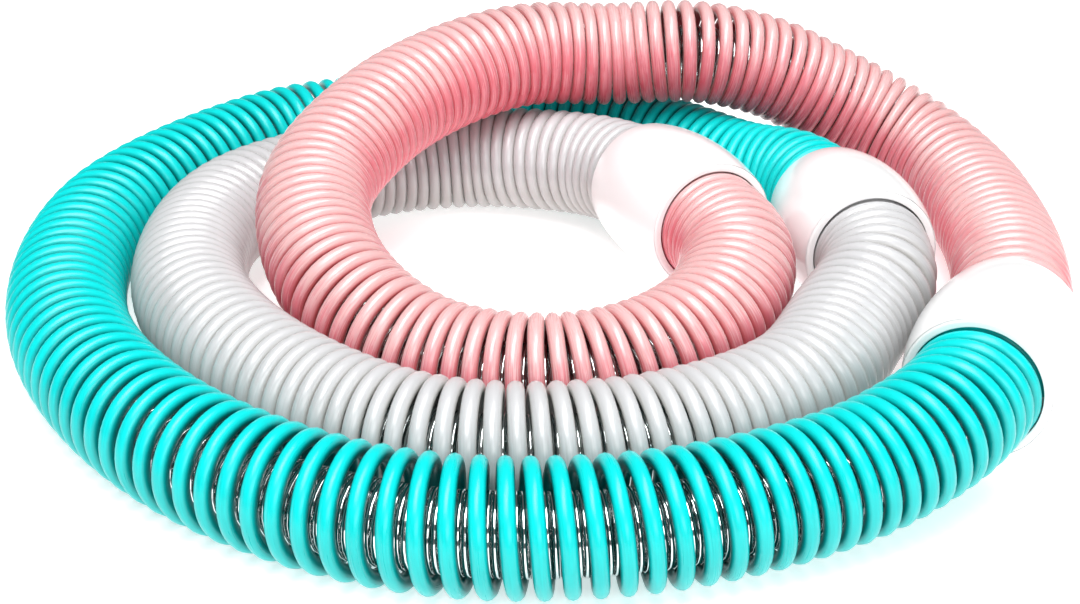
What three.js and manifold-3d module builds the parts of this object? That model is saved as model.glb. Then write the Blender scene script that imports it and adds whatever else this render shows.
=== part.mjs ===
// A soft exercise hoop, stored: three flexible double coils, joined end to end
// by three barrel connectors, wound up into three turns that lie on a flat
// surface. Millimetres, +Z up, origin on the surface below the middle.
//
// Each coil is two springs, one inside the other: a thick plastic coil that the
// hand feels, and a steel spring that gives it its shape. Both are made here as
// the hollow tubes that they fill. A connector holds a socket on one coil's end
// and a plug on the next one's, and its barrel is the bayonet lock between them.
import * as THREE from "three";
import { mergeVertices } from "three/addons/utils/BufferGeometryUtils.js";
import Module from "manifold-3d";

const wasm = await Module();
wasm.setup();

// ---- driving dimensions ------------------------------------------------
const CLEARANCE = 0.3;

const COIL_FLAT_R = 23.8; // outer coil, across the flats of its section
const COIL_BORE_R = 18;
const COIL_SIDES = 12;
const COIL_BORE_SIDES = 8;
const SPRING_R = 15.9;
const SPRING_BORE_R = 14;
const SPRING_SIDES = 8;
const STEP = 27; // length of one straight facet along a coil

const BARREL_HALF = 31; // half the barrel's length
const BARREL_R = 30.8; // at its middle
const MOUTH_R = 27.2;
const MOUTH_BORE_R = 26.1;
const BARREL_BORE_R = 25.1;
const BARREL_SIDES = 24;
const BARREL_RINGS = 12; // steps along the barrel's curved outside
const COIL_IN = 7; // how far a coil goes into the barrel
const COIL_END = BARREL_HALF - COIL_IN;

const FLANGE_R = 23.4;
const FLANGE = 3.4;
const FITTING_SIDES = 16;
const CORE_R = 13.2; // fills the end of the steel spring
const CORE = 9;
const SCREW_R = 2;
const SCREW_LENGTH = 8;
const SCREW_HEAD_R = 6;
const SCREW_HEAD = 2.6;

const TUBE_R = 16; // the socket's tube, on which the barrel turns
const TUBE_BORE_R = 11;
const TUBE_END = 2; // where it ends, past the barrel's middle
const TUBE_FLOOR = -12;
const SPIGOT_R = 10.6;
const SPIGOT_END = -10;
const COLLAR_R = 14;
const LUG_R = 20; // reach of the plug's two bayonet lugs
const LUG_WIDTH = 9;
const LUG = [6, 9.6]; // the lugs' two faces along the barrel

const TURN_RIB = [-16.4, -12.4]; // the rib that turns on the socket's tube
const LOCK_RIB = [9.9, 13.6]; // the rib that the lugs catch behind
const GROOVE = [-12.1, -10.7]; // in the socket's tube, for the retaining ring
const GROOVE_R = 14.6;
const RING_R = 18.2;
const WASHER_R = 22;

// ---- where everything lies ---------------------------------------------
// A height is how far the middle of the coil is above its height on the floor.
const at = ([x, y, height]) => new THREE.Vector3(x, y, COIL_FLAT_R + height);

const CONNECTORS = {
  front: { centre: [167, -80, 8.2], axis: [-0.42, -0.9, 0.05] },
  right: { centre: [129.5, 26, 9.8], axis: [0.12, -0.99, 0.1] },
  inner: { centre: [58, 47.5, 12.2], axis: [0.4, -0.915, 0.07] },
};

// Each coil runs clockwise, seen from above: the outer turn, the middle turn,
// then the inner turn, which climbs over the other two at the back.
const COILS = {
  turquoise: {
    from: "front", to: "right", colour: 0x12c9bd,
    points: [
      [137, -130, 8.5], [101, -154, 3], [28, -178, 0.3], [-51, -174.5, 0], [-131, -129, 1],
      [-187, -43, 1], [-192, 63, 0], [-133, 151, 0], [-88, 172, 0], [-38, 181, 0],
      [46, 151, 0.3], [92.5, 109.5, 0.5], [114, 87, 5],
    ],
  },
  grey: {
    from: "right", to: "inner", colour: 0xd6d6d8,
    points: [
      [131.6, -27, 12], [117, -53, 6.5], [90, -97, 2], [32, -127.5, 0.3], [-41, -127, 0.2],
      [-104, -84, 2], [-143, -18, 4], [-138, 62, 3], [-86, 111, 1], [-31, 125, 1],
      [22, 104, 6],
    ],
  },
  pink: {
    from: "inner", to: "front", colour: 0xf2a3a2,
    points: [
      [77, -2, 14], [77, -19, 12], [65, -49, 7], [38, -73, 3], [0, -82.5, 1], [-46, -68, 2],
      [-82, -34.5, 15.3], [-95, 18, 30], [-74, 68, 43], [-41, 108, 49], [-8, 128.5, 51.2],
      [30, 135, 49.2], [70, 134, 50.6], [104, 136.5, 42.5], [132, 136, 29.5],
      [156, 131, 18], [178, 115, 8], [191, 84, 3], [194, 46, 3], [192, 10, 5],
      [187.3, -20, 7],
    ],
  },
};

// ---- materials ---------------------------------------------------------
const finish = (color, roughness, metalness) => () =>
  new THREE.MeshStandardMaterial({ color, roughness, metalness });
const barrelFinish = finish(0xf7f7f6, 0.25, 0);
const mouldedFinish = finish(0xe4e4e0, 0.5, 0);
const springFinish = finish(0xd0d3d6, 0.2, 1);
const screwFinish = finish(0xa9adb0, 0.35, 1);
const rubberFinish = finish(0x2b2b2c, 0.8, 0);

// ---- shapes ------------------------------------------------------------
// A section travels along this curve without rolling: its flat side stays down.
class UprightCurve extends THREE.CatmullRomCurve3 {
  computeFrenetFrames(segments) {
    const up = new THREE.Vector3(0, 0, 1);
    const frames = { tangents: [], normals: [], binormals: [] };
    for (let i = 0; i <= segments; i += 1) {
      const tangent = this.getTangentAt(i / segments);
      const side = new THREE.Vector3().crossVectors(up, tangent).normalize();
      frames.tangents.push(tangent);
      frames.normals.push(side);
      frames.binormals.push(new THREE.Vector3().crossVectors(tangent, side));
    }
    return frames;
  }
}

function polygon(flatRadius, sides) {
  const radius = flatRadius / Math.cos(Math.PI / sides);
  const points = [];
  for (let i = 0; i < sides; i += 1) {
    const angle = ((i + 0.5) / sides) * 2 * Math.PI;
    points.push(new THREE.Vector2(radius * Math.cos(angle), radius * Math.sin(angle)));
  }
  return points;
}

function tubeAlong(curve, outerFlatR, outerSides, boreFlatR, boreSides) {
  const section = new THREE.Shape(polygon(outerFlatR, outerSides));
  section.holes.push(new THREE.Path(polygon(boreFlatR, boreSides)));
  const steps = Math.round(curve.getLength() / STEP);
  return new THREE.ExtrudeGeometry(section, { steps, bevelEnabled: false, extrudePath: curve });
}

// A profile is a list of [distance along the axis, radius]. The solid's axis is Z.
function turned(profile, sides) {
  const points = profile.map(([along, radius]) => new THREE.Vector2(radius, along));
  const geometry = new THREE.LatheGeometry(points, sides);
  geometry.rotateX(Math.PI / 2);
  return geometry;
}

function toSolid(geometry) {
  const bare = geometry.clone();
  bare.deleteAttribute("normal");
  bare.deleteAttribute("uv");
  const merged = mergeVertices(bare, 1e-4);
  return new wasm.Manifold(new wasm.Mesh({
    numProp: 3,
    vertProperties: new Float32Array(merged.attributes.position.array),
    triVerts: new Uint32Array(merged.index.array),
  }));
}

function toGeometry(solid) {
  const mesh = solid.getMesh();
  const geometry = new THREE.BufferGeometry();
  geometry.setAttribute("position", new THREE.BufferAttribute(mesh.vertProperties, 3));
  geometry.setIndex(new THREE.BufferAttribute(mesh.triVerts, 1));
  geometry.computeVertexNormals();
  return geometry;
}

function box(sizeX, sizeY, lowZ, highZ) {
  const geometry = new THREE.BoxGeometry(sizeX, sizeY, highZ - lowZ);
  geometry.translate(0, 0, (lowZ + highZ) / 2);
  return geometry;
}

// ---- the pieces of one connector, around the barrel's own axis ---------
// The barrel's outside is one round arc from mouth to mouth.
function barrel() {
  const rise = BARREL_R - MOUTH_R;
  const arcR = (BARREL_HALF ** 2 + rise ** 2) / (2 * rise);
  const outside = [];
  for (let i = 0; i <= BARREL_RINGS; i += 1) {
    const along = BARREL_HALF * ((2 * i) / BARREL_RINGS - 1);
    outside.push([along, BARREL_R - arcR + Math.sqrt(arcR ** 2 - along ** 2)]);
  }
  const ribR = TUBE_R + CLEARANCE;
  const lockR = COLLAR_R + CLEARANCE;
  const inside = [
    [BARREL_HALF, MOUTH_BORE_R], [COIL_END, BARREL_BORE_R],
    [LOCK_RIB[1], BARREL_BORE_R], [LOCK_RIB[1], lockR],
    [LOCK_RIB[0], lockR], [LOCK_RIB[0], BARREL_BORE_R],
    [TURN_RIB[1], BARREL_BORE_R], [TURN_RIB[1], ribR],
    [TURN_RIB[0], ribR], [TURN_RIB[0], BARREL_BORE_R],
    [-COIL_END, BARREL_BORE_R], [-BARREL_HALF, MOUTH_BORE_R],
  ];
  const shell = toSolid(turned([...outside, ...inside, outside[0]], BARREL_SIDES));
  // the slots that let the plug's lugs through, a quarter turn from the lugs
  const slot = box(LUG_WIDTH + 1, 2 * (LUG_R + 0.5), LOCK_RIB[0] - 1, LOCK_RIB[1] + 1);
  return toGeometry(shell.subtract(toSolid(slot)));
}

// The end that goes into the coil. It points along -Z, and the flange's inner
// face is at -(COIL_END - CLEARANCE - FLANGE).
function coreProfile() {
  const face = COIL_END - CLEARANCE;
  const pilotR = SCREW_R + CLEARANCE;
  const pilot = SCREW_LENGTH + 1;
  return [
    [-(COIL_END + CORE - pilot), 0], [-(COIL_END + CORE - pilot), pilotR],
    [-(COIL_END + CORE), pilotR], [-(COIL_END + CORE), CORE_R - 1.5],
    [-(COIL_END + CORE - 3), CORE_R], [-face, CORE_R], [-face, FLANGE_R],
    [-(face - FLANGE), FLANGE_R],
  ];
}

function socket() {
  const face = COIL_END - CLEARANCE - FLANGE;
  return turned([
    ...coreProfile(), [-face, TUBE_R], [GROOVE[0], TUBE_R], [GROOVE[0], GROOVE_R],
    [GROOVE[1], GROOVE_R], [GROOVE[1], TUBE_R - 0.4], [TUBE_END, TUBE_R - 0.4],
    [TUBE_END, TUBE_BORE_R], [TUBE_FLOOR, TUBE_BORE_R], [TUBE_FLOOR, 0],
  ], FITTING_SIDES);
}

function plug() {
  const face = COIL_END - CLEARANCE - FLANGE;
  const body = turned([
    ...coreProfile(), [-face, COLLAR_R], [-(TUBE_END + 0.6), COLLAR_R],
    [-(TUBE_END + 0.6), SPIGOT_R], [-SPIGOT_END - 1.2, SPIGOT_R],
    [-SPIGOT_END, SPIGOT_R - 1.2], [-SPIGOT_END, 0],
  ], FITTING_SIDES);
  const lugs = box(2 * LUG_R, LUG_WIDTH, -LUG[1], -LUG[0]);
  return toGeometry(toSolid(body).add(toSolid(lugs)));
}

function collar(low, high, boreR, outerR) {
  return turned([[low, boreR], [low, outerR], [high, outerR], [high, boreR], [low, boreR]],
    FITTING_SIDES);
}

// The head's underside is on the end of the core, and traps the spring's hook.
function coreScrew() {
  const end = COIL_END + CORE + CLEARANCE;
  return turned([
    [-(end + SCREW_HEAD), 0], [-(end + SCREW_HEAD), SCREW_HEAD_R - 1],
    [-(end + SCREW_HEAD - 1), SCREW_HEAD_R], [-end, SCREW_HEAD_R], [-end, SCREW_R],
    [-(end - SCREW_LENGTH + 1), SCREW_R], [-(end - SCREW_LENGTH), 0],
  ], COIL_SIDES);
}

// ---- assembly ----------------------------------------------------------
const hoop = new THREE.Group();

function piece(parent, name, geometry, material, flip = false) {
  const mesh = new THREE.Mesh(geometry, material());
  mesh.name = name;
  mesh.rotation.x = flip ? Math.PI : 0;
  parent.add(mesh);
}

for (const [place, { centre, axis }] of Object.entries(CONNECTORS)) {
  const group = new THREE.Group();
  group.position.copy(at(centre));
  const direction = new THREE.Vector3(...axis).normalize();
  group.quaternion.setFromUnitVectors(new THREE.Vector3(0, 0, 1), direction);
  piece(group, `${place}_lock_barrel`, barrel(), barrelFinish);
  piece(group, `${place}_socket`, socket(), mouldedFinish);
  piece(group, `${place}_plug`, plug(), mouldedFinish, true);
  piece(group, `${place}_retaining_ring`,
    collar(GROOVE[0] + 0.2, GROOVE[1] - 0.2, GROOVE_R + CLEARANCE, RING_R), screwFinish);
  piece(group, `${place}_friction_washer`,
    collar(TURN_RIB[0] - 1.5, TURN_RIB[0] - CLEARANCE, TUBE_R + CLEARANCE, WASHER_R),
    rubberFinish);
  piece(group, `${place}_socket_screw`, coreScrew(), screwFinish);
  piece(group, `${place}_plug_screw`, coreScrew(), screwFinish, true);
  hoop.add(group);
}

// A coil leaves its first connector along the connector's axis, and comes into
// the next one the same way.
function routeOf({ from, to, points }) {
  const straight = [COIL_END, COIL_END + COIL_IN / 2, BARREL_HALF];
  const along = (place, distance) => {
    const { centre, axis } = CONNECTORS[place];
    return at(centre).addScaledVector(new THREE.Vector3(...axis).normalize(), distance);
  };
  return new UprightCurve([
    ...straight.map((distance) => along(from, distance)),
    ...points.map(at),
    ...straight.reverse().map((distance) => along(to, -distance)),
  ]);
}

for (const [name, coil] of Object.entries(COILS)) {
  const route = routeOf(coil);
  piece(hoop, `${name}_coil`,
    tubeAlong(route, COIL_FLAT_R, COIL_SIDES, COIL_BORE_R, COIL_BORE_SIDES),
    finish(coil.colour, 0.3, 0));
  piece(hoop, `${name}_spring`,
    tubeAlong(route, SPRING_R, SPRING_SIDES, SPRING_BORE_R, SPRING_SIDES), springFinish);
}

export default hoop;
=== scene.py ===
"""A stored spring exercise hoop: three double coils and three lock barrels.

Everything is in metres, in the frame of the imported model. Each plastic coil is a
helix wound along the route that its plain tube takes, with its steel spring inside.
"""

import math

import bpy
import numpy as np
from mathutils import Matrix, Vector


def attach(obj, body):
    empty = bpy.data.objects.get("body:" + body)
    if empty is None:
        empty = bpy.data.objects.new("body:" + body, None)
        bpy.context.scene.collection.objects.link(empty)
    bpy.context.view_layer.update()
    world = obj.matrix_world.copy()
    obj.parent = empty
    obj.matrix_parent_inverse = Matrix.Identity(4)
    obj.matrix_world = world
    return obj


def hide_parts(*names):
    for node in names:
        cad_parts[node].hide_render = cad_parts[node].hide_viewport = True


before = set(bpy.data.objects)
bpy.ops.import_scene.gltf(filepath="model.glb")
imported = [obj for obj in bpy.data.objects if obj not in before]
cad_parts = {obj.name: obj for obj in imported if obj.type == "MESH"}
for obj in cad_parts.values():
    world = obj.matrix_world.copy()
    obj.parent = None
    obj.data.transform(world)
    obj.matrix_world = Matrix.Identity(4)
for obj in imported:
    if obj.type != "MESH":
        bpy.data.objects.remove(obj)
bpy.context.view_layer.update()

# ---- driving dimensions, in metres --------------------------------------
COIL_R = 0.0238  # a coil's outer radius, so its middle's height on the surface
COIL_MEAN_R = 0.0205
STRAND_DEPTH_R = 0.0032  # the strand's radius across the coil's wall
STRAND_SIDES = 12
STRAND_STEPS = 44  # to a turn
WIRE_R = 0.0010
WIRE_DEPTH_R = 0.0003  # the wire is rolled flatter across the spring's wall
WIRE_SIDES = 8
WIRE_STEPS = 20
WIRE_START = 1.0  # radians round from the side where the plastic coil starts
SPRING_MEAN_R = 0.0142
SPRING_PITCH = 0.00232
SPRING_DROP = 0.0026  # the steel spring lies on the bottom of the coil's inside
CORE_REACH = 0.012  # of the fitting that centres each end of the steel spring
DROP_REACH = 0.05  # past the fitting, over which the spring comes down
TURN_GAP = 0.00003  # on each side of a turn that touches the next

# Turns are never quite even: waves of (size, waves' rate along the coil, shift).
STRAND_WAVES = ((0.012, 61, 0), (0.010, 149, 1.3))
WIRE_WAVES = ((0.03, 83, 0), (0.02, 211, 0.7))

BARREL_HALF = 0.031
BARREL_R = 0.0308  # at its middle
BARREL_SIDES = 128
OUTSIDE_STEPS = 64  # along the arc of the barrel's outside
OUTSIDE_SHARE = 0.985  # of that arc, up to where the mouths' edges begin
EDGE_TURN = 80  # degrees that the round of a mouth's edge turns through
MOUTH_R = 0.0272
MOUTH_BORE_R = 0.0241
OUTER_ROUND, OUTER_STEPS = 0.0012, 6  # of the mouth's outer edge
INNER_ROUND, INNER_STEPS = 0.0004, 5
BARREL_BORE_R = 0.0251
COIL_END = 0.024  # where a coil's end sits, from the barrel's middle
RIB_EDGE = 0.0004  # chamfer round a rib's hole
TURN_RIB = (-0.0164, -0.0124, 0.0163)  # from, to, radius of its hole
LOCK_RIB = (0.0099, 0.0136, 0.0143)
SLOT_HALF_WIDTH = 0.0050
SLOT_R = 0.0205
SLOT_MARGIN = 1e-5
SHARP_ANGLE = math.radians(40)
SOFT_EDGE = 0.0003  # of the fittings

# The connectors' middles, as [x, y, height above a coil on the surface], and axes.
CONNECTORS = {
    "front": ([0.167, -0.080, 0.0082], [-0.42, -0.9, 0.05]),
    "right": ([0.1295, 0.026, 0.0098], [0.12, -0.99, 0.1]),
    "inner": ([0.058, 0.0475, 0.0122], [0.4, -0.915, 0.07]),
}

# Each coil's route, in the same form, its strand's radius along the coil, and how far
# apart its turns are: a list of (share of the way along, pitch).
COILS = {
    "turquoise": {
        "from": "front", "to": "right", "strand_r": 0.0030,
        "points": [
            [0.137, -0.130, 0.0085], [0.101, -0.154, 0.003], [0.028, -0.178, 0.0003],
            [-0.051, -0.1745, 0], [-0.131, -0.129, 0.001], [-0.187, -0.043, 0.001],
            [-0.192, 0.063, 0], [-0.133, 0.151, 0], [-0.088, 0.172, 0], [-0.038, 0.181, 0],
            [0.046, 0.151, 0.0003], [0.0925, 0.1095, 0.0005], [0.114, 0.087, 0.005],
        ],
        "pitch": [
            (0, 0.0064), (0.05, 0.0068), (0.10, 0.0075), (0.15, 0.0083), (0.20, 0.0089),
            (0.32, 0.0088), (0.38, 0.0086), (0.44, 0.0082), (0.50, 0.0085), (0.56, 0.0088),
            (0.62, 0.0080), (0.68, 0.0077), (0.76, 0.0066), (0.84, 0.0070), (0.94, 0.0066),
            (1, 0.0062),
        ],
    },
    "grey": {
        "from": "right", "to": "inner", "strand_r": 0.0032,
        "points": [
            [0.1316, -0.027, 0.012], [0.117, -0.053, 0.0065], [0.090, -0.097, 0.002],
            [0.032, -0.1275, 0.0003], [-0.041, -0.127, 0.0002], [-0.104, -0.084, 0.002],
            [-0.143, -0.018, 0.004], [-0.138, 0.062, 0.003], [-0.086, 0.111, 0.001],
            [-0.031, 0.125, 0.001], [0.022, 0.104, 0.006],
        ],
        "pitch": [
            (0, 0.0060), (0.11, 0.0058), (0.14, 0.0057), (0.19, 0.0061), (0.25, 0.0072),
            (0.30, 0.0077), (0.34, 0.0075), (0.40, 0.0065), (0.50, 0.0065), (0.56, 0.0060),
            (0.61, 0.0058), (0.66, 0.0066), (0.80, 0.0065), (0.90, 0.0069), (1, 0.0063),
        ],
    },
    "pink": {
        "from": "inner", "to": "front", "strand_r": 0.0031,
        "points": [
            [0.077, -0.002, 0.014], [0.077, -0.019, 0.012], [0.065, -0.049, 0.007],
            [0.038, -0.073, 0.003], [0, -0.0825, 0.001], [-0.046, -0.068, 0.002],
            [-0.082, -0.0345, 0.0153], [-0.095, 0.018, 0.030], [-0.074, 0.068, 0.043],
            [-0.041, 0.108, 0.049], [-0.008, 0.1285, 0.0512], [0.030, 0.135, 0.0492],
            [0.070, 0.134, 0.0506], [0.104, 0.1365, 0.0425], [0.132, 0.136, 0.0295],
            [0.156, 0.131, 0.018], [0.178, 0.115, 0.008], [0.191, 0.084, 0.003],
            [0.194, 0.046, 0.003], [0.192, 0.010, 0.005], [0.1873, -0.020, 0.007],
        ],
        "pitch": [
            (0, 0.0056), (0.10, 0.0058), (0.15, 0.0067), (0.20, 0.0069), (0.25, 0.0077),
            (0.29, 0.0063), (0.33, 0.0055), (0.42, 0.0057), (0.47, 0.0063), (0.53, 0.0069),
            (0.60, 0.0067), (0.74, 0.0067), (0.84, 0.0074), (0.90, 0.0076), (0.95, 0.0068),
            (1, 0.0062),
        ],
    },
}

# Each coil's plastic, as strand_plastic takes it. The inner colour is painted shade on the
# side facing the coil's inside, and painted light there for the grey. The shades run from
# painted shade underneath to painted light on top.
PLASTICS = {
    "turquoise": {
        "painted_inner_shading": (0, 0.17, 0.165),
        "shades": [(0, 0.42, 0.41), (0, 0.51, 0.50), (0.001, 0.60, 0.59)],
        "glow": (0.1, 1.0, 1.0), "scatter": 0.08,
        "gloss": 0.38, "pearl": 0.0, "roughness": (0.22, 0.36),
    },
    "grey": {
        "painted_inner_shading": (0.58, 0.57, 0.55),
        "shades": [(0.38, 0.37, 0.36), (0.44, 0.44, 0.445), (0.53, 0.53, 0.54)],
        "glow": (1.0, 1.0, 1.0), "scatter": 0.1,
        "gloss": 0.8, "pearl": 0.15, "roughness": (0.18, 0.32),
    },
    "pink": {
        "painted_inner_shading": (0.60, 0.12, 0.13),
        "shades": [(0.62, 0.08, 0.12), (0.67, 0.20, 0.235), (0.70, 0.42, 0.42)],
        "glow": (1.0, 0.35, 0.3), "scatter": 0.25,
        "gloss": 0.8, "pearl": 0.35, "roughness": (0.2, 0.34),
    },
}
SHADE_STOPS = (0.40, 0.56, 0.69)  # where each shade is reached, by height round the coil and noise; the height gives painted shade underneath and painted light on top
INNER_SHADING_STOPS = (0.05, 0.7)  # painted inner shading fades out from the strand's side towards its outside
MOTTLE_STOPS = (0.3, 0.7)
STREAK_SHAPE = (1, 1, 14)  # makes the noise into lines that run along the strand
STREAK_SCALE = 5
STRAND_CLOUD = (38, 4)  # a noise's scale and detail

# The barrels' and fittings' materials, as clouded_material takes them.
FINISHES = {
    "white_gloss_plastic": {
        "shades": ((0.87, 0.87, 0.87), (0.90, 0.90, 0.90)), "cloud": (25, 4),
        "roughness": (0.16, 0.26), "grain": (900, 2), "relief": (0.05, 0.0001),
        "Coat_Weight": 0.4, "Coat_Roughness": 0.08, "IOR": 1.5,
    },
    "white_moulded_plastic": {
        "shades": ((0.72, 0.72, 0.69), (0.80, 0.80, 0.78)), "cloud": (40, 4),
        "roughness": (0.4, 0.55), "grain": (1500, 2), "relief": (0.2, 0.0001),
        "IOR": 1.5,
    },
    "zinc_plated_steel": {
        "shades": ((0.50, 0.52, 0.54), (0.66, 0.67, 0.68)), "cloud": (300, 4),
        "roughness": (0.25, 0.45), "grain": (300, 4), "relief": (0.1, 0.0001),
        "Metallic": 1.0,
    },
    "black_washer_rubber": {
        "shades": ((0.018, 0.018, 0.018), (0.030, 0.030, 0.031)), "cloud": (120, 4),
        "roughness": (0.65, 0.85), "grain": (2000, 3), "relief": (0.3, 0.0001),
        "IOR": 1.5,
    },
}
FITTINGS = {
    "socket": "white_moulded_plastic", "plug": "white_moulded_plastic",
    "retaining_ring": "zinc_plated_steel", "friction_washer": "black_washer_rubber",
    "socket_screw": "zinc_plated_steel", "plug_screw": "zinc_plated_steel",
}

# The camera, at the height and distance from which the hoop is usually seen.
VIEW_TARGET = Vector((-0.002, 0.024, 0))
VIEW_ELEVATION = math.radians(27.57)
VIEW_DISTANCE = 0.7772
LENS_MM = 60
SENSOR_MM = 36
CLIP_START = 0.01

# Soft white light: each box's place, size and watts. All face the same point.
SOFTBOXES = {
    "key": ((-0.15, -0.65, 1.3), (1.0, 0.8), 17),
    "top": ((0.1, -0.1, 1.5), (1.2, 0.6), 18),
    "front": ((0.5, -1.3, 0.6), (1.0, 0.5), 7),
}
LIGHT_TARGET = (0, 0, 0.03)
WORLD_STRENGTH = 0.12
FLOOR_HALF = 8


# ---- camera, floor and light ---------------------------------------------
def look_at(obj, target):
    obj.rotation_mode = "QUATERNION"
    obj.rotation_quaternion = (Vector(target) - obj.location).to_track_quat("-Z", "Y")


def add_camera():
    camera = bpy.data.objects.new("camera", bpy.data.cameras.new("camera"))
    back = Vector((0, -math.cos(VIEW_ELEVATION), math.sin(VIEW_ELEVATION)))
    camera.location = VIEW_TARGET + VIEW_DISTANCE * back
    look_at(camera, VIEW_TARGET)
    camera.data.sensor_width = SENSOR_MM
    camera.data.lens = LENS_MM
    camera.data.clip_start = CLIP_START
    bpy.context.scene.collection.objects.link(camera)
    bpy.context.scene.camera = camera


def add_softbox(name, location, size, watts):
    light = bpy.data.lights.new(name, "AREA")
    light.shape = "RECTANGLE"
    light.size, light.size_y = size
    light.energy = watts
    lamp = bpy.data.objects.new(name, light)
    lamp.location = location
    look_at(lamp, LIGHT_TARGET)
    bpy.context.scene.collection.objects.link(lamp)


def add_studio():
    world = bpy.data.worlds.new("studio")
    world.use_nodes = True
    background = world.node_tree.nodes["Background"]
    background.inputs["Color"].default_value = (1, 1, 1, 1)
    background.inputs["Strength"].default_value = WORLD_STRENGTH
    bpy.context.scene.world = world
    bpy.context.scene.view_settings.view_transform = "Standard"
    for name, (location, size, watts) in SOFTBOXES.items():
        add_softbox(name, location, size, watts)


# ---- mesh helpers --------------------------------------------------------
def add_mesh(name, vertices, faces, smooth=True):
    mesh = bpy.data.meshes.new(name)
    mesh.from_pydata(vertices, [], faces)
    mesh.polygons.foreach_set("use_smooth", [smooth] * len(mesh.polygons))
    mesh.validate()
    obj = bpy.data.objects.new(name, mesh)
    bpy.context.scene.collection.objects.link(obj)
    return obj


def grid_mesh(name, points, closed_rows=False):
    """A skin over points[row, column], whose columns go round and close."""
    rows, columns = points.shape[:2]
    index = np.arange(rows * columns).reshape(rows, columns)
    low = index if closed_rows else index[:-1]
    high = np.roll(index, -1, axis=0) if closed_rows else index[1:]
    quads = np.stack([low, np.roll(low, -1, 1), np.roll(high, -1, 1), high], axis=-1)
    faces = quads.reshape(-1, 4).tolist()
    if not closed_rows:
        faces.append(index[0, ::-1].tolist())
        faces.append(index[-1].tolist())
    return add_mesh(name, points.reshape(-1, 3).tolist(), faces)


# ---- the coils -----------------------------------------------------------
class Line:
    """A smooth line through points, with an upright frame at every millimetre."""

    STEP = 0.001
    SPAN_STEPS = 60  # between two points
    BEND_SPREAD = 10  # millimetres over which its bending is evened out
    BEND_REACH = 30

    def __init__(self, points):
        dense = self.centripetal(np.array(points), self.SPAN_STEPS)
        run = np.r_[0, np.cumsum(np.linalg.norm(np.diff(dense, axis=0), axis=1))]
        self.length = run[-1]
        self.s = np.linspace(0, self.length, round(self.length / self.STEP) + 1)
        self.point = self.by_axis(dense, lambda values: np.interp(self.s, run, values))
        self.tangent = self.unit(np.gradient(self.point, self.s, axis=0))
        self.side = self.unit(np.cross([0, 0, 1], self.tangent))
        self.up = np.cross(self.tangent, self.side)
        reach = self.BEND_REACH
        weights = np.exp(-0.5 * (np.arange(-reach, reach + 1) / self.BEND_SPREAD) ** 2)
        weights /= weights.sum()
        bend = np.gradient(self.tangent, self.s, axis=0)
        padded = np.pad(bend, ((reach, reach), (0, 0)), mode="edge")
        self.bend = self.by_axis(padded, lambda values: np.convolve(values, weights, "valid"))

    @staticmethod
    def by_axis(vectors, change):
        """Vectors whose x, y and z values have each gone through the same change."""
        return np.stack([change(vectors[:, axis]) for axis in range(3)], 1)

    @staticmethod
    def unit(vectors):
        return vectors / np.linalg.norm(vectors, axis=1)[:, None]

    @staticmethod
    def centripetal(points, steps):
        """The centripetal Catmull-Rom curve, as the plain tubes' own route is."""
        p = np.vstack([2 * points[0] - points[1], points, 2 * points[-1] - points[-2]])
        t = np.linspace(0, 1, steps, endpoint=False)[:, None]
        spans = []
        for a, b, c, d in zip(p, p[1:], p[2:], p[3:]):
            before, here, after = (np.linalg.norm(v) ** 0.5 for v in (b - a, c - b, d - c))
            leave = ((b - a) / before - (c - a) / (before + here) + (c - b) / here) * here
            arrive = ((c - b) / here - (d - b) / (here + after) + (d - c) / after) * here
            spans.append(
                (2 * t**3 - 3 * t**2 + 1) * b + (t**3 - 2 * t**2 + t) * leave
                + (3 * t**2 - 2 * t**3) * c + (t**3 - t**2) * arrive
            )
        return np.vstack([*spans, points[-1]])

    def at(self, s, vectors):
        """The line's own vectors, such as line.up, at distances s along it."""
        return self.by_axis(vectors, lambda values: np.interp(s, self.s, values))


def helix(name, line, mean_r, radii, pitch, drop, start, steps, sides):
    """A strand wound round a line, with steps to a turn and sides round the strand.

    radii are the strand's own, along the line and across it. pitch and drop, how far
    the turns hang below the line, are lists with a number for each line.s.
    """
    along_r, across_r = radii
    turns = np.r_[0, np.cumsum(np.diff(line.s) / ((pitch[1:] + pitch[:-1]) / 2))]
    phase = np.arange(int(turns[-1] * steps) + 1) / steps
    s = np.interp(phase, turns, line.s)
    angle = 2 * math.pi * phase + start
    up = line.at(s, line.up)
    tangent = line.at(s, line.tangent)
    out = np.cos(angle)[:, None] * line.at(s, line.side) + np.sin(angle)[:, None] * up
    centre = line.at(s, line.point) - np.interp(s, line.s, drop)[:, None] * up
    # on the inside of a bend the turns meet and press each other thinner
    stretch = 1 - mean_r * np.einsum("ij,ij->i", out, line.at(s, line.bend))
    room = np.interp(s, line.s, pitch) * stretch / 2 - TURN_GAP
    half = np.minimum(along_r, room)
    around = 2 * math.pi * np.arange(sides) / sides
    across = mean_r + across_r * np.cos(around)
    points = (
        centre[:, None]
        + across[None, :, None] * out[:, None]
        + (half[:, None] * np.sin(around))[..., None] * tangent[:, None]
    )
    obj = grid_mesh(name, points)
    # for the materials: the place round and along the strand, and up or down the coil for the
    # painted light and shade
    along = np.repeat(phase * 2 * math.pi * mean_r, sides)
    outward, sideways = (np.tile(wave(around), len(s)) for wave in (np.cos, np.sin))
    strand = np.stack([outward, sideways, along], 1).astype(np.float32)
    layer = obj.data.attributes.new("strand", "FLOAT_VECTOR", "POINT")
    layer.data.foreach_set("vector", strand.ravel())
    layer = obj.data.attributes.new("painted_light_height", "FLOAT", "POINT")
    layer.data.foreach_set("value", np.repeat(np.sin(angle), sides).astype(np.float32))
    return obj


def unevenness(line, waves):
    """A factor for each line.s: 1, give or take the waves."""
    return sum((size * np.sin(line.s * rate + shift) for size, rate, shift in waves), 1)


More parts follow.
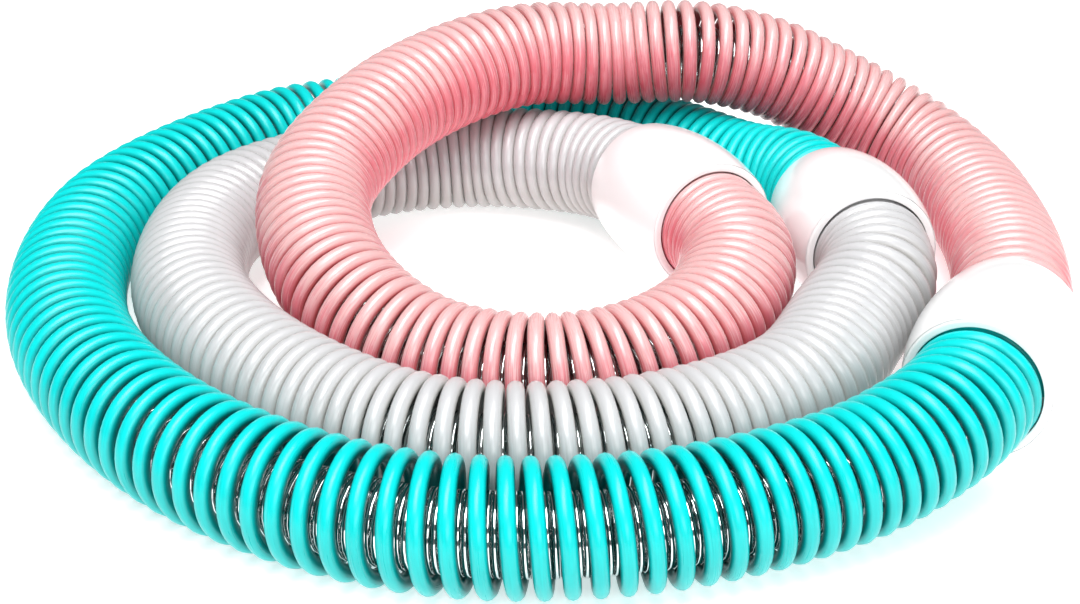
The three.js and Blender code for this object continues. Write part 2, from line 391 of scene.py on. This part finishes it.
def route_of(coil):
    """A coil's line, straight along both connectors' axes at its ends."""
    straight = [COIL_END, (COIL_END + BARREL_HALF) / 2, BARREL_HALF]

    def along(place, distance):
        centre, axis = CONNECTORS[place]
        unit = np.array(axis) / np.linalg.norm(axis)
        return np.array(centre) + [0, 0, COIL_R] + distance * unit

    return Line([
        *[along(coil["from"], d) for d in straight],
        *[np.array(p) + [0, 0, COIL_R] for p in coil["points"]],
        *[along(coil["to"], -d) for d in straight[::-1]],
    ])


def add_coil(name, coil, plastic, steel):
    line = route_of(coil)
    pitch = np.interp(line.s / line.length, *zip(*coil["pitch"]))
    strand = helix(
        f"{name}_strand", line, COIL_MEAN_R, (coil["strand_r"], STRAND_DEPTH_R),
        pitch * unevenness(line, STRAND_WAVES), drop=np.zeros_like(line.s), start=0.0,
        steps=STRAND_STEPS, sides=STRAND_SIDES,
    )
    strand.data.materials.append(plastic)
    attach(strand, "hoop")
    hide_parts(f"{name}_coil")

    from_end = np.minimum(line.s, line.length - line.s)
    loose = np.clip((from_end - CORE_REACH) / DROP_REACH, 0, 1)
    wire = helix(
        f"{name}_wire", line, SPRING_MEAN_R, (WIRE_R, WIRE_DEPTH_R),
        SPRING_PITCH * unevenness(line, WIRE_WAVES),
        drop=SPRING_DROP * loose * loose * (3 - 2 * loose), start=WIRE_START,
        steps=WIRE_STEPS, sides=WIRE_SIDES,
    )
    wire.data.materials.append(steel)
    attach(wire, "hoop")
    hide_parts(f"{name}_spring")

    mouth = line.at([BARREL_HALF - COIL_END], line.point)[0]


# ---- the lock barrels ----------------------------------------------------
def arc(centre, radius, start, end, steps):
    """Points [along, across] on a round arc, with angles in degrees from the axis."""
    along, across = centre
    return [
        [along + radius * math.cos(angle), across + radius * math.sin(angle)]
        for angle in np.radians(np.linspace(start, end, steps + 1))
    ]


def barrel_profile():
    """The wall's section [along, radius], once round, from the plug side's mouth."""
    rise = BARREL_R - MOUTH_R
    big = (BARREL_HALF**2 + rise**2) / (2 * rise)
    tilt = OUTSIDE_SHARE * math.degrees(math.asin(BARREL_HALF / big))
    outer_along, outer_across = BARREL_HALF - OUTER_ROUND, MOUTH_R - OUTER_ROUND
    inner_along, inner_across = BARREL_HALF - INNER_ROUND, MOUTH_BORE_R + INNER_ROUND
    profile = arc((0, BARREL_R - big), big, 90 - tilt, 90 + tilt, OUTSIDE_STEPS)
    profile += arc(
        (-outer_along, outer_across), OUTER_ROUND, 180 - EDGE_TURN, 180, OUTER_STEPS)
    profile += arc(
        (-inner_along, inner_across), INNER_ROUND, 180, 180 + EDGE_TURN, INNER_STEPS)
    profile.append([-COIL_END, BARREL_BORE_R])
    for low, high, hole in (TURN_RIB, LOCK_RIB):
        profile += [[low, BARREL_BORE_R], [low, hole + RIB_EDGE], [low + RIB_EDGE, hole]]
        profile += [[high - RIB_EDGE, hole], [high, hole + RIB_EDGE], [high, BARREL_BORE_R]]
    profile.append([COIL_END, BARREL_BORE_R])
    profile += arc((inner_along, inner_across), INNER_ROUND, -EDGE_TURN, 0, INNER_STEPS)
    profile += arc((outer_along, outer_across), OUTER_ROUND, 0, EDGE_TURN, OUTER_STEPS)
    return np.array(profile)


def add_barrel(place, plastic):
    profile = barrel_profile()
    centre, axis = CONNECTORS[place]
    turn = Vector((0, 0, 1)).rotation_difference(Vector(axis).normalized())
    angles = 2 * math.pi * np.arange(BARREL_SIDES) / BARREL_SIDES
    along = profile[:, :1] * np.ones(BARREL_SIDES)
    radius = profile[:, 1:] * np.ones(BARREL_SIDES)
    # two slots in the lock rib let the plug's lugs through
    low, high, _ = LOCK_RIB
    in_rib = (along > low - SLOT_MARGIN) & (along < high + SLOT_MARGIN)
    in_slot = np.abs(np.cos(angles)) * SLOT_R < SLOT_HALF_WIDTH
    radius = np.where(in_rib & in_slot, np.maximum(radius, SLOT_R), radius)
    local = np.stack([radius * np.cos(angles), radius * np.sin(angles), along], -1)
    middle = np.array(centre) + [0, 0, COIL_R]
    points = local @ np.array(turn.to_matrix()).T + middle
    barrel = grid_mesh(f"{place}_barrel_shell", points, closed_rows=True)
    barrel.data.set_sharp_from_angle(angle=SHARP_ANGLE)
    barrel.data.materials.append(plastic)
    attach(barrel, f"{place}_barrel")
    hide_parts(f"{place}_lock_barrel")


# ---- materials -----------------------------------------------------------
class Shader:
    """A material's node tree, with its Principled shader's own sockets set."""

    def __init__(self, name, **settings):
        self.material = bpy.data.materials.new(name)
        self.material.use_nodes = True
        self.tree = self.material.node_tree
        self.surface = self.tree.nodes["Principled BSDF"]
        for socket, value in settings.items():
            self.surface.inputs[socket.replace("_", " ")].default_value = value

    def node(self, kind, links=(), **values):
        """A new node. links feed its sockets; values set its settings or sockets."""
        node = self.tree.nodes.new(kind)
        for key, value in values.items():
            if hasattr(node, key):
                setattr(node, key, value)
            else:
                node.inputs[key.replace("_", " ")].default_value = value
        for socket, source in dict(links).items():
            self.tree.links.new(source, node.inputs[socket])
        return node

    def drive(self, socket, source):
        self.tree.links.new(source, self.surface.inputs[socket])

    def ramp(self, source, stops):
        node = self.node("ShaderNodeValToRGB", {"Fac": source})
        ramp = node.color_ramp
        ramp.elements[0].position, ramp.elements[0].color = stops[0]
        ramp.elements[1].position, ramp.elements[1].color = stops[-1]
        for position, color in stops[1:-1]:
            ramp.elements.new(position).color = color
        return node.outputs["Color"]

    def noise(self, vector, scale, detail=3):
        node = self.node("ShaderNodeTexNoise", {"Vector": vector}, Scale=scale, Detail=detail)
        return node.outputs["Fac"]

    def mean(self, first, second):
        added = self.node("ShaderNodeMath", {0: first, 1: second}, operation="ADD")
        halved = self.node("ShaderNodeMath", {0: added.outputs[0]}, operation="MULTIPLY")
        halved.inputs[1].default_value = 0.5
        return halved.outputs[0]

    def mottle(self, source, dark, light):
        """A base colour that goes between two shades."""
        stops = [(stop, (*shade, 1)) for stop, shade in zip(MOTTLE_STOPS, (dark, light))]
        self.drive("Base Color", self.ramp(source, stops))

    def here(self):
        return self.node("ShaderNodeTexCoord").outputs["Object"]

    def strand(self):
        """The strand's own directions: outward, sideways, and along it."""
        return self.node("ShaderNodeAttribute", attribute_name="strand").outputs["Vector"]

    def bump(self, height, strength, distance):
        node = self.node(
            "ShaderNodeBump", {"Height": height}, Strength=strength, Distance=distance)
        self.drive("Normal", node.outputs["Normal"])

    def vary_roughness(self, source, low, high):
        node = self.node("ShaderNodeMapRange", {"Value": source}, To_Min=low, To_Max=high)
        self.drive("Roughness", node.outputs["Result"])


def strand_plastic(name, painted_inner_shading, shades, glow, scatter, gloss, pearl, roughness):
    """A drawn, slightly see-through plastic strand with fine lines along it.

    Its inner colour is painted on the side that faces the inside of the coil: painted
    shade on the turquoise and pink plastics, painted light on the grey one. shades are
    its colours from the underside of the coil to the side that lies uppermost: painted
    shade below and painted light above, mixed with noise that varies the tone.
    """
    shader = Shader(
        name, Subsurface_Weight=scatter, Subsurface_Radius=glow, Subsurface_Scale=0.002,
        IOR=1.5, Sheen_Weight=pearl, Sheen_Roughness=0.35, Sheen_Tint=(1, 0.95, 0.9, 1),
        Specular_IOR_Level=gloss,
    )
    strand = shader.strand()
    stretched = shader.node("ShaderNodeVectorMath", {0: strand}, operation="MULTIPLY")
    stretched.inputs[1].default_value = STREAK_SHAPE
    streaks = shader.noise(stretched.outputs["Vector"], STREAK_SCALE)
    mixed = shader.mean(streaks, shader.noise(shader.here(), *STRAND_CLOUD))
    # painted light and shade: paler on the coil's top, darker on its underside, mixed with
    # the noise
    painted_light_height = shader.node("ShaderNodeAttribute", attribute_name="painted_light_height").outputs["Fac"]
    height = shader.node("ShaderNodeMapRange", {"Value": painted_light_height}, From_Min=-1)
    skin = shader.ramp(
        shader.mean(mixed, height.outputs["Result"]),
        [(stop, (*shade, 1)) for stop, shade in zip(SHADE_STOPS, shades)])
    # painted shading on the inner side: the strand's inside half takes the painted inner
    # colour, shade on turquoise and pink, light on grey
    outward = shader.node("ShaderNodeSeparateXYZ", {"Vector": strand}).outputs["X"]
    black_to_white = ((0, 0, 0, 1), (1, 1, 1, 1))
    side = shader.ramp(outward, list(zip(INNER_SHADING_STOPS, black_to_white)))
    blend = shader.node("ShaderNodeMix", {"Factor": side, "B": skin}, data_type="RGBA")
    blend.inputs["A"].default_value = (*painted_inner_shading, 1)
    shader.drive("Base Color", blend.outputs["Result"])
    shader.vary_roughness(mixed, *roughness)
    shader.bump(streaks, 0.2, 0.0002)
    return shader.material


def clouded_material(name, shades, cloud, roughness, grain, relief, **surface):
    """Two shades in soft clouds, and a fine grain.

    cloud and grain are each a noise's scale and detail, and relief is the grain's
    strength and depth.
    """
    shader = Shader(name, **surface)
    clouds = shader.noise(shader.here(), *cloud)
    shader.mottle(clouds, *shades)
    shader.vary_roughness(clouds, *roughness)
    shader.bump(shader.noise(shader.here(), *grain), *relief)
    return shader.material


def bright_steel():
    """Drawn spring wire: bright, with drawing lines along it."""
    shader = Shader("bright_spring_steel", Metallic=1.0)
    lines = shader.noise(shader.strand(), 9, 2)
    # the steel's bright shades, with a slight cyan tint that is painted reflection of the
    # turquoise plastic round the wire
    shader.mottle(lines, (0.68, 0.74, 0.74), (0.84, 0.89, 0.89))
    shader.vary_roughness(lines, 0.06, 0.14)
    shader.bump(lines, 0.02, 0.00005)
    return shader.material


def floor_paper():
    """White, and a little bright of its own, as a floor lit from below."""
    return Shader(
        "white_paper", Base_Color=(0.93, 0.93, 0.93, 1), Roughness=0.9,
        Specular_IOR_Level=0.1, Emission_Color=(1, 1, 1, 1), Emission_Strength=0.55,
    ).material


# ---- assembly ------------------------------------------------------------
def add_floor():
    signs = [(-1, -1), (1, -1), (1, 1), (-1, 1)]
    corners = [(FLOOR_HALF * x, FLOOR_HALF * y, 0) for x, y in signs]
    floor = add_mesh("floor", corners, [(0, 1, 2, 3)], smooth=False)
    floor.data.materials.append(floor_paper())


def finish_cad_node(name, material):
    """A fitting keeps its CAD shape, with its edges softened."""
    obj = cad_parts[name]
    obj.data.materials.clear()
    obj.data.materials.append(material)
    bevel = obj.modifiers.new("soft_edges", "BEVEL")
    bevel.width = SOFT_EDGE
    bevel.segments = 2
    bevel.limit_method = "ANGLE"
    bevel.angle_limit = SHARP_ANGLE


add_camera()
steel = bright_steel()
for name, coil in COILS.items():
    add_coil(name, coil, strand_plastic(f"{name}_plastic", **PLASTICS[name]), steel)

finishes = {name: clouded_material(name, **finish) for name, finish in FINISHES.items()}
for place in CONNECTORS:
    add_barrel(place, finishes["white_gloss_plastic"])
    for fitting, finish in FITTINGS.items():
        finish_cad_node(f"{place}_{fitting}", finishes[finish])

add_floor()
add_studio()
